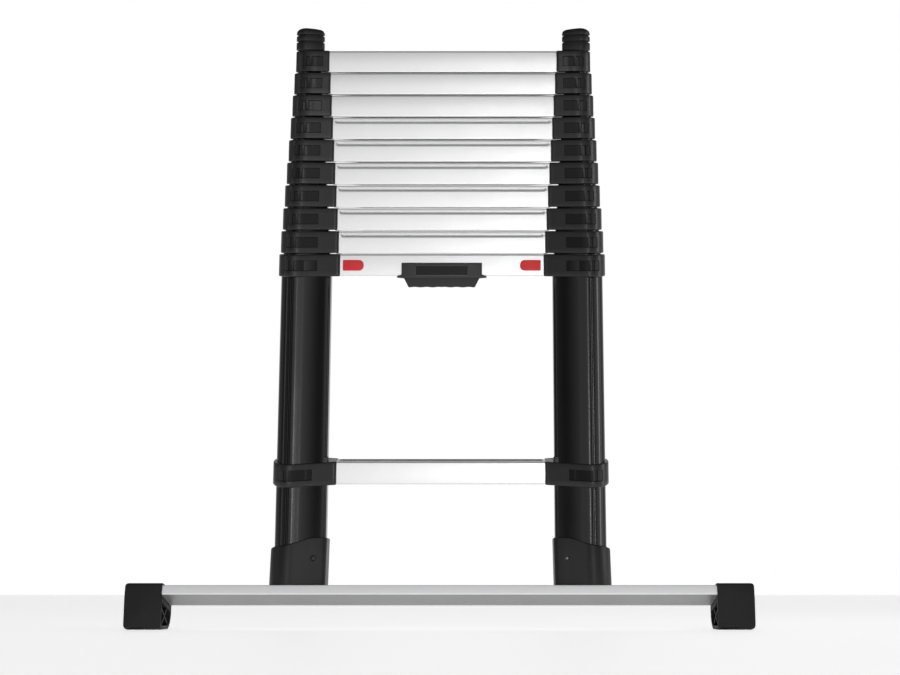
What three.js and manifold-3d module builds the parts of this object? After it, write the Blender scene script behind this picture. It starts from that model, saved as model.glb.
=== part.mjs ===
// Ten-section telescoping ladder, closed, standing upright on its stabiliser feet.
// Millimetres. +X is to the right, -Y is the front with the release buttons and +Z runs up the
// stiles. The origin is on the floor, under the middle of the ladder's box.
import * as THREE from 'three';
import { mergeVertices } from 'three/addons/utils/BufferGeometryUtils.js';
import Module from 'manifold-3d';

const wasm = await Module();
wasm.setup();

// ---- Driving dimensions ----
const LAST_SECTION = 11;         // sections are numbered by the rung they carry; 2 is the base
const CLOSED_PITCH = 34.2;       // rung to rung while closed
const FIXED_RUNG_Z = 211;        // rung 1, clamped on the base tubes
const BASE_RUNG_Z = 511;         // rung 2, at the top of the base tubes

const TUBE_WIDTH = 72;           // base tube, across the ladder
const TUBE_WIDTH_STEP = 4.25;    // each section is this much narrower than the one below
const TUBE_X = 195;              // middle of the base tube
const TUBE_X_STEP = 0.21;        // outward shift of each section
const TUBE_WALL = 1.4;
const SLIDING_TUBE_LENGTH = 395;
const BASE_TUBE_BOTTOM_Z = 68;
const PLUG_HEIGHT = 10;          // closed bottom end of each sliding tube

const COLLAR_HEIGHT = 32.3;
const COLLAR_RING = 3.8;         // collar thickness around its tube
const CLAMP_RING = 4.5;          // thickness of the fixed lower collars
const LUG_INNER_X = 157.5;       // stop lugs that stand up from the clamp collars
const LUG_OUTER_X = 172.5;
const LUG_FRONT = -26;
const LUG_REAR = -8;
const LUG_HEIGHT = 7.5;
const NECK_LENGTH = 13.4;        // collar neck, from the tube to the rung
const COLLAR_END_SCALE = 0.86;   // least scale of a collar's inner end, to cover the rung's end

const RUNG_DEPTH = 28;
const RUNG_HEIGHT = 31.5;
const RUNG_WALL = 2;
const RUNG_CORNER = 4;
const TREAD_RISE = Math.tan(THREE.MathUtils.degToRad(15));    // treads are level when it leans

const SPAN = 856;                // over the feet
const FOOT_WIDTH = 50.5;
const FOOT_FRONT = -40;          // measured from the stile centre line, as all depths here
const FOOT_REAR = 26;
const FOOT_TOP_Z = 62.3;
const FOOT_WALL = 4;
const FOOT_RIB = 2.6;
const BAR_TILT = THREE.MathUtils.degToRad(-15);    // the bar's rear edge is the lower one
const BAR_FRONT = -35.5;
const BAR_TOP_Z = 59.9;          // top front edge of the bar
const BAR_HEIGHT = 13;
const BAR_DEPTH = 60;
const BAR_WALL = 1.8;
const BAR_INSERTION = 32;        // how far the bar reaches into each foot

const SHOE_INNER_X = 156.5;
const SHOE_OUTER_X = 235.5;
const SHOE_TOP_Z = 124.5;          // at the inner edge
const SHOE_DROP = 15;            // the top edge is this much lower at the outer edge
const SHOE_HALF_DEPTH = 35.5;
const SCREW_X = 174.3;
const SCREW_Z = 96;

const CAP_WIDTH = 41.3;
const CAP_HEIGHT = 37.4;
const CAP_GROOVE = 2.2;
const CAP_SPIGOT = 24;           // the part of the cap that plugs the top tube
const CAP_PLUG = 17;             // width and depth of that part

const BUTTON_X = 126.8;          // middle of the release button
const BUTTON_LENGTH = 29.5;
const BUTTON_HEIGHT = 15;
const BUTTON_PROUD = 3.5;
const BUTTON_TRAVEL = 8;
const STEM_HALF_LENGTH = 6;
const STEM_HALF_HEIGHT = 4;
const PIN_RADIUS = 4;
const PIN_TAIL_RADIUS = 2.2;
const PIN_TIP_X = 156;
const PIN_SHOULDER_X = 112;
const PIN_TAIL_X = 92;
const SPRING_RADIUS = 3.6;
const SPRING_WIRE = 0.55;
const SPRING_TURNS = 6;
const SPRING_END_X = 94;
const SEAT_THICKNESS = 6;

const GRIP_WIDTH = 116;
const GRIP_TOP_Z = 1.9;          // heights on the grip are measured from the middle of its rung
const GRIP_WING_Z = -19.4;       // the fine wings that end the grip's upper part
const GRIP_BOTTOM_Z = -33.2;
const GRIP_PROUD = 5;
const LABEL_WIDTH = 74;
const LABEL_HEIGHT = 13;
const LABEL_Z = -8.5;

const GAP = 0.3;                 // between neighbours that touch on the real ladder
const PAST = 1;                  // how far a cutter reaches past what it cuts

// The box runs from the feet's front to the base collars' rear, so the stile centre line lies a
// little behind its middle.
const TUBE_HALF_DEPTH = 32;
const CLAMP_SCALE = (TUBE_WIDTH + 2 * CLAMP_RING) / TUBE_WIDTH;
const STILE_Y = -(FOOT_FRONT + TUBE_HALF_DEPTH * CLAMP_SCALE) / 2;

// ---- Materials ----
const finish = (color, roughness, metalness) =>
  new THREE.MeshStandardMaterial({ color, roughness, metalness });

const BLACK_ALUMINIUM = finish(0x1b1b1d, 0.3, 0.6);
const SATIN_ALUMINIUM = finish(0xdedfe1, 0.4, 0.8);
const BAR_ALUMINIUM = finish(0xc9cacc, 0.4, 0.8);
const BLACK_PLASTIC = finish(0x2c2c2e, 0.55, 0);
const RUBBER = finish(0x262627, 0.8, 0);
const RED_PLASTIC = finish(0xc8383a, 0.4, 0);
const LABEL_FILM = finish(0xa8a9ab, 0.5, 0);
const STEEL = finish(0x8d8f92, 0.3, 0.9);

// ---- Solids ----
function solidOf(geometry) {
  const bare = geometry.clone();
  bare.deleteAttribute('normal');
  bare.deleteAttribute('uv');
  const merged = mergeVertices(bare, 1e-4);
  return new wasm.Manifold(new wasm.Mesh({
    numProp: 3,
    vertProperties: new Float32Array(merged.attributes.position.array),
    triVerts: new Uint32Array(merged.index.array),
  }));
}

function geometryOf(solid) {
  const mesh = solid.getMesh();
  const geometry = new THREE.BufferGeometry();
  geometry.setAttribute('position', new THREE.BufferAttribute(mesh.vertProperties, 3));
  geometry.setIndex(new THREE.BufferAttribute(mesh.triVerts, 1));
  return geometry;
}

// A shape drawn in X and Y, pulled up from one height to another.
function raised(shape, bottom, top) {
  const geometry = new THREE.ExtrudeGeometry(shape, {
    depth: top - bottom, bevelEnabled: false, curveSegments: 5,
  });
  geometry.translate(0, 0, bottom);
  return solidOf(geometry);
}

// The same, with its level faces rising to the rear like the treads. Heights hold at the rungs'
// front.
function raisedSloping(shape, bottom, top) {
  const geometry = new THREE.ExtrudeGeometry(shape, {
    depth: top - bottom, bevelEnabled: false, curveSegments: 5,
  });
  const rise = new THREE.Matrix4().set(
    1, 0, 0, 0,
    0, 1, 0, 0,
    0, TREAD_RISE, 1, bottom + TREAD_RISE * RUNG_DEPTH / 2,
    0, 0, 0, 1,
  );
  return solidOf(geometry.applyMatrix4(rise));
}

// A side view drawn in Y and Z, pulled along X.
function alongX(shape, left, right) {
  const geometry = new THREE.ExtrudeGeometry(shape, {
    depth: right - left, bevelEnabled: false, curveSegments: 5,
  });
  geometry.applyMatrix4(new THREE.Matrix4().makeBasis(
    new THREE.Vector3(0, 1, 0), new THREE.Vector3(0, 0, 1), new THREE.Vector3(1, 0, 0)));
  geometry.translate(left, 0, 0);
  return solidOf(geometry);
}

// A front view drawn in X and Z, pulled along Y.
function alongY(shape, front, rear) {
  const geometry = new THREE.ExtrudeGeometry(shape, {
    depth: rear - front, bevelEnabled: false, curveSegments: 6,
  });
  geometry.rotateX(Math.PI / 2);
  geometry.translate(0, rear, 0);
  return solidOf(geometry);
}

function block(x0, x1, y0, y1, z0, z1) {
  const geometry = new THREE.BoxGeometry(Math.abs(x1 - x0), y1 - y0, z1 - z0);
  geometry.translate((x0 + x1) / 2, (y0 + y1) / 2, (z0 + z1) / 2);
  return solidOf(geometry);
}

function rodAlongX(radius, x0, x1, y, z) {
  const geometry = new THREE.CylinderGeometry(radius, radius, Math.abs(x1 - x0), 12);
  geometry.rotateZ(Math.PI / 2);
  geometry.translate((x0 + x1) / 2, y, z);
  return solidOf(geometry);
}

// ---- Stile profile ----
// Half of the base tube's section, a rounded triangle: a narrow inner end, a slanting face that
// deepens outwards, a fine step and a round outer end.
function halfProfile() {
  const half = new THREE.Path();
  half.moveTo(-36, 0);
  half.lineTo(-36, 8);
  half.quadraticCurveTo(-36, 16, -29, 18);
  half.lineTo(13.5, 32);
  half.lineTo(15, 30.5);
  half.lineTo(19.5, 29.8);
  half.quadraticCurveTo(29, 26, 33, 14);
  half.quadraticCurveTo(36, 7, 36, 0);
  return half.getPoints(2);
}

// A mirrored outline from half of one; side is 1 for the right stile and -1 for the left.
function wholeShape(half, side, x) {
  const mirrored = half.slice(1, -1).reverse().map((p) => new THREE.Vector2(p.x, -p.y));
  const points = [...half, ...mirrored];
  return new THREE.Shape(points.map((p) => new THREE.Vector2(x + side * p.x, p.y)));
}

function stileShape(width, side, x) {
  const scale = width / TUBE_WIDTH;
  return wholeShape(halfProfile().map((p) => p.multiplyScalar(scale)), side, x);
}

// The tube's section with its inner end moved to the rung and kept as deep as the rung.
function collarShape(width, side, x, stretch) {
  const scale = width / TUBE_WIDTH;
  const endScale = Math.max(scale, COLLAR_END_SCALE);
  const half = halfProfile().map((p) => new THREE.Vector2(
    scale * p.x - (p.x < 0 ? stretch : 0),
    p.y * (p.x < 0 ? endScale : scale),
  ));
  return wholeShape(half, side, x);
}

const sectionsUp = (section) => section - 2;
const tubeWidth = (section) => TUBE_WIDTH - TUBE_WIDTH_STEP * sectionsUp(section);
const tubeX = (section, side) => side * (TUBE_X + TUBE_X_STEP * sectionsUp(section));
const innerEdge = (section) => Math.abs(tubeX(section, 1)) - tubeWidth(section) / 2;
const neckEnd = (section) => innerEdge(section) - NECK_LENGTH;
const rungZ = (section) => BASE_RUNG_Z + CLOSED_PITCH * sectionsUp(section);

// ---- Rung profile ----
// A closed box section with rounded corners, drawn in Y and Z. Its top and bottom rise to the rear.
function rungShape(inset) {
  const y = RUNG_DEPTH / 2 - inset;
  const z = RUNG_HEIGHT / 2 - inset;
  const corner = Math.max(RUNG_CORNER - inset, 1.5);
  const shape = new THREE.Shape();
  shape.moveTo(-y, corner - z);
  shape.lineTo(-y, z - corner);
  shape.quadraticCurveTo(-y, z, corner - y, z);
  shape.lineTo(y - corner, z);
  shape.quadraticCurveTo(y, z, y, z - corner);
  shape.lineTo(y, corner - z);
  shape.quadraticCurveTo(y, -z, y - corner, -z);
  shape.lineTo(corner - y, -z);
  shape.quadraticCurveTo(-y, -z, -y, corner - z);
  const rising = (p) => new THREE.Vector2(p.x, p.y + TREAD_RISE * (p.x + RUNG_DEPTH / 2));
  return new THREE.Shape(shape.getPoints(5).slice(0, -1).map(rising));
}

// ---- Stiles and collars ----
// The outside of a collar, around its tube and on to the end of its rung.
function collarBody(section, side, z, ring) {
  const width = tubeWidth(section) + 2 * ring;
  const shape = collarShape(width, side, tubeX(section, side), NECK_LENGTH - ring);
  return raisedSloping(shape, z - COLLAR_HEIGHT / 2, z + COLLAR_HEIGHT / 2);
}

// A tube with a level bottom, whose top rises to the rear like its collar's.
function tubeBody(shape, bottom, top) {
  const upper = raisedSloping(shape, top - COLLAR_HEIGHT, top);
  return raised(shape, bottom, top - COLLAR_HEIGHT / 2).add(upper);
}

// A sliding tube with its moulded collar, and with the closed plug at its bottom end.
function slidingStile(section, side) {
  const width = tubeWidth(section);
  const x = tubeX(section, side);
  const top = rungZ(section) + COLLAR_HEIGHT / 2;
  const bottom = top - SLIDING_TUBE_LENGTH;
  const tube = tubeBody(stileShape(width, side, x), bottom, top);
  const collar = collarBody(section, side, rungZ(section), COLLAR_RING);
  const inside = stileShape(width - 2 * TUBE_WALL, side, x);
  const bore = raised(inside, bottom + PLUG_HEIGHT, top + COLLAR_HEIGHT);
  return tube.add(collar).subtract(bore);
}

function baseTube(side) {
  const x = tubeX(2, side);
  const top = BASE_RUNG_Z + COLLAR_HEIGHT / 2;
  const tube = tubeBody(stileShape(TUBE_WIDTH, side, x), BASE_TUBE_BOTTOM_Z, top);
  const inside = stileShape(TUBE_WIDTH - 2 * TUBE_WALL, side, x);
  const bore = raised(inside, BASE_TUBE_BOTTOM_Z - PAST, top + COLLAR_HEIGHT);
  const pinHole = rodAlongX(PIN_RADIUS + GAP, side * (innerEdge(2) - PAST),
    side * (innerEdge(2) + TUBE_WALL + PAST), 0, BASE_RUNG_Z);
  return tube.subtract(bore).subtract(pinHole);
}

// A collar that is a separate piece around the base tube.
function clearOfTube(collar, side) {
  const inside = stileShape(TUBE_WIDTH + 3 * GAP, side, tubeX(2, side));
  return collar.subtract(raised(inside, FIXED_RUNG_Z - COLLAR_HEIGHT, BASE_RUNG_Z + COLLAR_HEIGHT));
}

function clampCollar(side) {
  const lug = block(side * LUG_INNER_X, side * LUG_OUTER_X, LUG_FRONT, LUG_REAR,
    FIXED_RUNG_Z, FIXED_RUNG_Z + COLLAR_HEIGHT / 2 + LUG_HEIGHT);
  return clearOfTube(collarBody(2, side, FIXED_RUNG_Z, CLAMP_RING).add(lug), side);
}

function baseCollar(side) {
  const collar = collarBody(2, side, BASE_RUNG_Z, COLLAR_RING);
  return clearOfTube(collar, side).subtract(pinBore(side));
}

function pinBore(side) {
  return rodAlongX(PIN_RADIUS + GAP, side * (neckEnd(2) - PAST), side * TUBE_X, 0, BASE_RUNG_Z);
}

// ---- Rungs ----
function rung(section, z) {
  const reach = neckEnd(section) - GAP;
  const outside = alongX(rungShape(0), -reach, reach);
  const inside = alongX(rungShape(RUNG_WALL), -reach - PAST, reach + PAST);
  return outside.subtract(inside).translate([0, 0, z]);
}

// The slot that a button's stem slides in, always covered by the button.
function buttonSlot(side) {
  const clear = STEM_HALF_HEIGHT + 0.5;
  const reach = STEM_HALF_LENGTH + 0.5;
  return block(side * (BUTTON_X - BUTTON_TRAVEL - reach), side * (BUTTON_X + reach),
    -RUNG_DEPTH / 2 - PAST, -RUNG_DEPTH / 2 + RUNG_WALL + PAST,
    BASE_RUNG_Z - clear, BASE_RUNG_Z + clear);
}

// ---- Release buttons, lock pins and springs ----
// A thumb plate, flat towards the stile and round towards the middle, with a stem into the rung.
function releaseButton(side) {
  const half = BUTTON_LENGTH / 2;
  const high = BUTTON_HEIGHT / 2;
  const outer = side * (BUTTON_X + half);
  const bend = side * (BUTTON_X - half + high);
  const inner = side * (BUTTON_X - half);
  const plate = new THREE.Shape();
  plate.moveTo(outer, -high);
  plate.lineTo(outer, high);
  plate.lineTo(bend, high);
  plate.quadraticCurveTo(inner, high, inner, 0);
  plate.quadraticCurveTo(inner, -high, bend, -high);
  const face = -RUNG_DEPTH / 2;
  const thumb = alongY(plate, face - BUTTON_PROUD, face - GAP);
  const stem = block(side * (BUTTON_X - STEM_HALF_LENGTH), side * (BUTTON_X + STEM_HALF_LENGTH),
    face - PAST, -PIN_RADIUS - GAP, -STEM_HALF_HEIGHT, STEM_HALF_HEIGHT);
  return thumb.add(stem).translate([0, 0, BASE_RUNG_Z]);
}

function lockPin(side) {
  const head = rodAlongX(PIN_RADIUS, side * PIN_SHOULDER_X, side * PIN_TIP_X, 0, BASE_RUNG_Z);
  const tail = rodAlongX(PIN_TAIL_RADIUS, side * PIN_TAIL_X, side * (PIN_SHOULDER_X + PAST),
    0, BASE_RUNG_Z);
  return head.add(tail);
}

function springPath(side) {
  const curve = new THREE.Curve();
  const length = PIN_SHOULDER_X - GAP - SPRING_WIRE - SPRING_END_X;
  curve.getPoint = (t, target = new THREE.Vector3()) => {
    const angle = 2 * Math.PI * SPRING_TURNS * t;
    return target.set(side * (SPRING_END_X + length * t),
      SPRING_RADIUS * Math.cos(angle), SPRING_RADIUS * Math.sin(angle));
  };
  return curve;
}

function pinSpring(side) {
  const wire = new THREE.Shape();
  wire.absarc(0, 0, SPRING_WIRE, 0, 2 * Math.PI);
  const geometry = new THREE.ExtrudeGeometry(wire, {
    extrudePath: springPath(side), steps: 10 * SPRING_TURNS, curveSegments: 3,
  });
  return solidOf(geometry).translate([0, 0, BASE_RUNG_Z]);
}

// A bracket across the inside of the rung that the spring pushes against.
function springSeat(side) {
  const reach = [side * (SPRING_END_X - SEAT_THICKNESS), side * (SPRING_END_X - SPRING_WIRE - GAP)];
  const plate = alongX(rungShape(RUNG_WALL + GAP), Math.min(...reach), Math.max(...reach))
    .translate([0, 0, BASE_RUNG_Z]);
  const hole = rodAlongX(PIN_TAIL_RADIUS + GAP, side * (SPRING_END_X - 2 * SEAT_THICKNESS),
    side * SPRING_END_X, 0, BASE_RUNG_Z);
  return plate.subtract(hole);
}

// ---- Carry handle and label plate ----
// Front view of the grip: a plain upper part, two fine wings and a narrower finger grip below.
function gripFront() {
  const half = GRIP_WIDTH / 2;
  const shape = new THREE.Shape();
  const outline = [
    [half, GRIP_TOP_Z], [half, GRIP_WING_Z + 3.4], [half + 7, GRIP_WING_Z + 0.8],
    [half + 7, GRIP_WING_Z - 0.8], [half - 3, GRIP_WING_Z - 2], [half - 10.8, GRIP_BOTTOM_Z],
  ];
  const right = outline.map(([x, z]) => new THREE.Vector2(x, z));
  const left = outline.map(([x, z]) => new THREE.Vector2(-x, z)).reverse();
  shape.setFromPoints([...right, ...left]);
  return shape;
}

const GRIP_FRONT_Y = -RUNG_DEPTH / 2 - GRIP_PROUD;

// The grip covers the front of the rung's lower half and carries on below it.
function carryHandle() {
  const body = alongY(gripFront(), GRIP_FRONT_Y, RUNG_DEPTH / 2);
  const rungSpace = alongX(rungShape(-GAP), -GRIP_WIDTH, GRIP_WIDTH);
  const behind = block(-GRIP_WIDTH, GRIP_WIDTH, -RUNG_DEPTH / 2 - GAP, RUNG_DEPTH,
    -RUNG_HEIGHT / 4, RUNG_HEIGHT);
  const pocket = block(-LABEL_WIDTH / 2 - GAP, LABEL_WIDTH / 2 + GAP, GRIP_FRONT_Y - PAST,
    GRIP_FRONT_Y + 1.2, LABEL_Z - LABEL_HEIGHT / 2 - GAP, LABEL_Z + LABEL_HEIGHT / 2 + GAP);
  return body.subtract(rungSpace).subtract(behind).subtract(pocket).translate([0, 0, BASE_RUNG_Z]);
}

function labelPlate() {
  return block(-LABEL_WIDTH / 2, LABEL_WIDTH / 2, GRIP_FRONT_Y + 0.1, GRIP_FRONT_Y + 1.2 - GAP,
    LABEL_Z - LABEL_HEIGHT / 2, LABEL_Z + LABEL_HEIGHT / 2).translate([0, 0, BASE_RUNG_Z]);
}

// ---- Top caps ----
// Three ribs with two grooves between them, a domed top and a spigot in the top tube.
function topCap(side) {
  const x = tubeX(LAST_SECTION, side);
  const bottom = rungZ(LAST_SECTION) + COLLAR_HEIGHT / 2 + GAP;
  const layer = (width, from, to) => raised(stileShape(width, side, x), bottom + from, bottom + to);
  const core = layer(CAP_WIDTH - 2 * CAP_GROOVE, -2, CAP_HEIGHT - 4);
  const lowRib = layer(CAP_WIDTH, -2, 9);
  const middleRib = layer(CAP_WIDTH, 11.5, 18.5);
  const topRib = layer(CAP_WIDTH, 21, CAP_HEIGHT - 3.5);
  const shoulder = layer(CAP_WIDTH - 3, CAP_HEIGHT - 4, CAP_HEIGHT - 1.5);
  const crown = layer(CAP_WIDTH - 9, CAP_HEIGHT - 2, CAP_HEIGHT);
  const spigot = block(x - CAP_PLUG / 2, x + CAP_PLUG / 2, -CAP_PLUG / 2, CAP_PLUG / 2,
    bottom - CAP_SPIGOT, bottom + CAP_PLUG);
  const cap = core.add(lowRib).add(middleRib).add(topRib).add(shoulder).add(crown);
  const below = raisedSloping(stileShape(2 * CAP_WIDTH, side, x), bottom - COLLAR_HEIGHT, bottom);
  return cap.subtract(below).add(spigot);
}

// ---- Stabiliser bar, feet and shoes ----
// Height of the bar's top face at a given depth.
const barTopAt = (y) => BAR_TOP_Z + (y - BAR_FRONT) * Math.tan(BAR_TILT);

// The bar's section, grown by a margin on every side.
function barShape(margin) {
  const along = new THREE.Vector2(Math.cos(BAR_TILT), Math.sin(BAR_TILT));
  const down = new THREE.Vector2(along.y, -along.x);
  const corner = new THREE.Vector2(BAR_FRONT, BAR_TOP_Z)
    .addScaledVector(along, -margin).addScaledVector(down, -margin);
  const depth = BAR_DEPTH + 2 * margin;
  const height = BAR_HEIGHT + 2 * margin;
  const at = (a, b) => corner.clone().addScaledVector(along, a).addScaledVector(down, b);
  return new THREE.Shape([at(0, 0), at(depth, 0), at(depth, height), at(0, height)]);
}

const BAR_END = SPAN / 2 - FOOT_WIDTH + BAR_INSERTION;

function stabiliserBar() {
  const outside = alongX(barShape(0), -BAR_END, BAR_END);
  const inside = alongX(barShape(-BAR_WALL), -BAR_END - PAST, BAR_END + PAST);
  return outside.subtract(inside);
}

// Side view of a foot: a flat sole under the stiles and a round rear to rock on.
function footShape() {
  const shape = new THREE.Shape();
  shape.moveTo(FOOT_FRONT + 3, 0);
  shape.lineTo(FOOT_FRONT, 3);
  shape.lineTo(FOOT_FRONT, 42.6);
  shape.lineTo(FOOT_FRONT + 1.5, FOOT_TOP_Z - 2);
  shape.quadraticCurveTo(FOOT_FRONT + 2, FOOT_TOP_Z, FOOT_FRONT + 5, FOOT_TOP_Z);
  shape.lineTo(-17, 59.8);
  shape.lineTo(FOOT_REAR - 3, 49.4);
  shape.quadraticCurveTo(FOOT_REAR, 48, FOOT_REAR, 45);
  shape.lineTo(FOOT_REAR, 24);
  shape.quadraticCurveTo(FOOT_REAR - 1, 6, 8, 0);
  return shape;
}

// The lower body is hollow and open towards the middle of the ladder, with crossed ribs.
function footHollow(side, inner, outer) {
  const pocket = new THREE.Shape();
  pocket.moveTo(FOOT_FRONT + FOOT_WALL, FOOT_WALL + 1);
  pocket.lineTo(FOOT_FRONT + FOOT_WALL, 38);
  pocket.lineTo(FOOT_REAR - FOOT_WALL, 23);
  pocket.quadraticCurveTo(FOOT_REAR - FOOT_WALL - 2, 8, 5, FOOT_WALL + 1);
  const space = side > 0 ? alongX(pocket, inner - PAST, outer) : alongX(pocket, -outer, PAST - inner);
  const ribAt = (tilt) => {
    const rib = new THREE.BoxGeometry(2 * FOOT_WIDTH, 90, FOOT_RIB);
    rib.rotateX(tilt);
    rib.translate(side * inner, -10, 18);
    return solidOf(rib);
  };
  return space.subtract(ribAt(0.62)).subtract(ribAt(-0.5));
}

function foot(side) {
  const outer = SPAN / 2;
  const inner = outer - FOOT_WIDTH;
  const span = side > 0 ? [inner, outer] : [-outer, -inner];
  const body = alongX(footShape(), ...span);
  const front = new THREE.Shape();
  front.moveTo(side * inner, 0);
  front.lineTo(side * (outer - 6), 0);
  front.quadraticCurveTo(side * outer, 1, side * outer, 8);
  front.lineTo(side * outer, FOOT_TOP_Z - 5);
  front.quadraticCurveTo(side * outer, FOOT_TOP_Z, side * (outer - 5), FOOT_TOP_Z);
  front.lineTo(side * inner, FOOT_TOP_Z);
  const rounded = body.intersect(alongY(front, FOOT_FRONT - PAST, FOOT_REAR + PAST));
  const socketSpan = side > 0 ? [inner - PAST, BAR_END + GAP] : [-BAR_END - GAP, PAST - inner];
  const socket = alongX(barShape(GAP), ...socketSpan);
  return rounded.subtract(socket).subtract(footHollow(side, inner, outer - FOOT_WALL));
}

// A moulded shoe that holds the bottom of the base tube on the bar; its top edge is an S-curve.
function shoeFront(side) {
  const low = SHOE_TOP_Z - SHOE_DROP;
  const shape = new THREE.Shape();
  shape.moveTo(side * SHOE_INNER_X, 0);
  shape.lineTo(side * SHOE_INNER_X, SHOE_TOP_Z - 3);
  shape.quadraticCurveTo(side * SHOE_INNER_X, SHOE_TOP_Z, side * (SHOE_INNER_X + 3), SHOE_TOP_Z);
  shape.bezierCurveTo(side * (SHOE_INNER_X + 26), SHOE_TOP_Z, side * (SHOE_INNER_X + 34), low,
    side * (SHOE_OUTER_X - 18), low);
  shape.lineTo(side * (SHOE_OUTER_X - 11), low);
  shape.lineTo(side * (SHOE_OUTER_X - 5), low - 3);
  shape.lineTo(side * SHOE_OUTER_X, low - 7);
  shape.lineTo(side * SHOE_OUTER_X, 0);
  return shape;
}

function shoe(side) {
  const middle = side * (SHOE_INNER_X + SHOE_OUTER_X) / 2;
  const plan = stileShape(SHOE_OUTER_X - SHOE_INNER_X, side, middle);
  const body = raised(plan, 0, SHOE_TOP_Z + PAST)
    .intersect(alongY(shoeFront(side), -2 * SHOE_HALF_DEPTH, 2 * SHOE_HALF_DEPTH));
  const socket = raised(stileShape(TUBE_WIDTH + 2 * GAP, side, tubeX(2, side)),
    BASE_TUBE_BOTTOM_Z - GAP, SHOE_TOP_Z + 2 * PAST);
  const under = new THREE.Shape([
    new THREE.Vector2(-SPAN, barTopAt(-SPAN) + GAP),
    new THREE.Vector2(SPAN, barTopAt(SPAN) + GAP),
    new THREE.Vector2(SPAN, -SPAN),
    new THREE.Vector2(-SPAN, -SPAN)]);
  const below = alongX(under, -SPAN, SPAN);
  const screwHole = rodAlongY(3.4, side * SCREW_X, -2 * SHOE_HALF_DEPTH, -TUBE_HALF_DEPTH + 2, SCREW_Z);
  return body.subtract(socket).subtract(below).subtract(screwHole);
}

function rodAlongY(radius, x, y0, y1, z) {
  const geometry = new THREE.CylinderGeometry(radius, radius, y1 - y0, 12);
  geometry.translate(x, (y0 + y1) / 2, z);
  return solidOf(geometry);
}

function shoeScrew(side) {
  return rodAlongY(3, side * SCREW_X, -SHOE_HALF_DEPTH + 0.6, -TUBE_HALF_DEPTH - GAP, SCREW_Z);
}

// ---- Assembly ----
const stiles = new THREE.Group();
stiles.position.y = STILE_Y;

function place(name, solid, material) {
  const mesh = new THREE.Mesh(geometryOf(solid), material);
  mesh.name = name;
  stiles.add(mesh);
}

for (const [hand, side] of [['left', -1], ['right', 1]]) {
  place(`foot_${hand}`, foot(side), RUBBER);
  place(`shoe_${hand}`, shoe(side), BLACK_PLASTIC);
  place(`shoe_screw_${hand}`, shoeScrew(side), STEEL);
  place(`base_tube_${hand}`, baseTube(side), BLACK_ALUMINIUM);
  place(`clamp_collar_${hand}`, clampCollar(side), BLACK_PLASTIC);
  place(`base_collar_${hand}`, baseCollar(side), BLACK_PLASTIC);
  place(`release_button_${hand}`, releaseButton(side), RED_PLASTIC);
  place(`lock_pin_${hand}`, lockPin(side), STEEL);
  place(`pin_spring_${hand}`, pinSpring(side), STEEL);
  place(`spring_seat_${hand}`, springSeat(side), BLACK_PLASTIC);
  place(`top_cap_${hand}`, topCap(side), RUBBER);
  for (let section = 3; section <= LAST_SECTION; section += 1) {
    place(`stile_${hand}_${section}`, slidingStile(section, side), BLACK_ALUMINIUM);
  }
}

place('stabiliser_bar', stabiliserBar(), BAR_ALUMINIUM);
place('rung_1', rung(2, FIXED_RUNG_Z), SATIN_ALUMINIUM);
place('rung_2', rung(2, BASE_RUNG_Z).subtract(buttonSlot(-1)).subtract(buttonSlot(1)), SATIN_ALUMINIUM);
for (let section = 3; section <= LAST_SECTION; section += 1) {
  place(`rung_${section}`, rung(section, rungZ(section)), SATIN_ALUMINIUM);
}
place('carry_handle', carryHandle(), BLACK_PLASTIC);
place('label_plate', labelPlate(), LABEL_FILM);

const ladder = new THREE.Group();
ladder.add(stiles);

export default ladder;
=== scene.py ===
"""Visual model of a ten-section telescoping ladder, closed and standing on its stabiliser feet.

Lengths in the helpers are millimetres in the CAD frame: +X right, -Y front, +Z up.
The right-hand half of each pair is built, and the left-hand one is its mirror image.
"""
import math

import bmesh
import bpy
from mathutils import Matrix, Vector


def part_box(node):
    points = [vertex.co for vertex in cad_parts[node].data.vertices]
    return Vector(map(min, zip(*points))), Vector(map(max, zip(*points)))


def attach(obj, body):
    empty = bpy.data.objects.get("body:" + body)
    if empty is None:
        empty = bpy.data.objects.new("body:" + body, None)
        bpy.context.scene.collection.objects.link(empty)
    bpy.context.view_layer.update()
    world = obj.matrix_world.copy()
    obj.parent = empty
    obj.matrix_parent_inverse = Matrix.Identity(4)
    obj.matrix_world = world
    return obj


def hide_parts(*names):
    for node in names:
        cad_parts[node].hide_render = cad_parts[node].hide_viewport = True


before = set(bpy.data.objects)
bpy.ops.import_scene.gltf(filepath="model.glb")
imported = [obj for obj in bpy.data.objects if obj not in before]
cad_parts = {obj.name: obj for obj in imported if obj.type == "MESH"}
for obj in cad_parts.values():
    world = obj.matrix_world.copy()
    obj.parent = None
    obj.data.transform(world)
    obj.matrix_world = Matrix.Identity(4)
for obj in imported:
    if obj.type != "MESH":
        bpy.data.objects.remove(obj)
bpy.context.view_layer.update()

MM = 0.001
FIRST, LAST = 3, 11              # sliding sections, numbered by the rung they carry
SIDES = (("right", 1), ("left", -1))
TUBE_WIDTH = 72                  # base tube, across the ladder
TUBE_WIDTH_STEP = 4.25           # each section is this much narrower than the one below
TUBE_HALF_DEPTH = 32
WALL = 1.4
PLUG_HEIGHT = 10                 # closed bottom end of each sliding tube
COLLAR_RING = 3.8                # a collar's thickness around its tube
CLAMP_RING = 4.5                 # the same on the fixed collars
COLLAR_END = 17                  # half depth of a collar beside its rung
RUNG_CORNER = 4                  # on the rear of a rung
FIXED_RUNG_LIFT = 2.3            # rung 1 stands this much higher than its CAD node
TREAD_RISE = math.tan(math.radians(15))
BAR_TILT = math.radians(-15)     # the bar's rear edge is the lower one


def box_mm(node):
    low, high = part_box(node)
    return low / MM, high / MM


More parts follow.
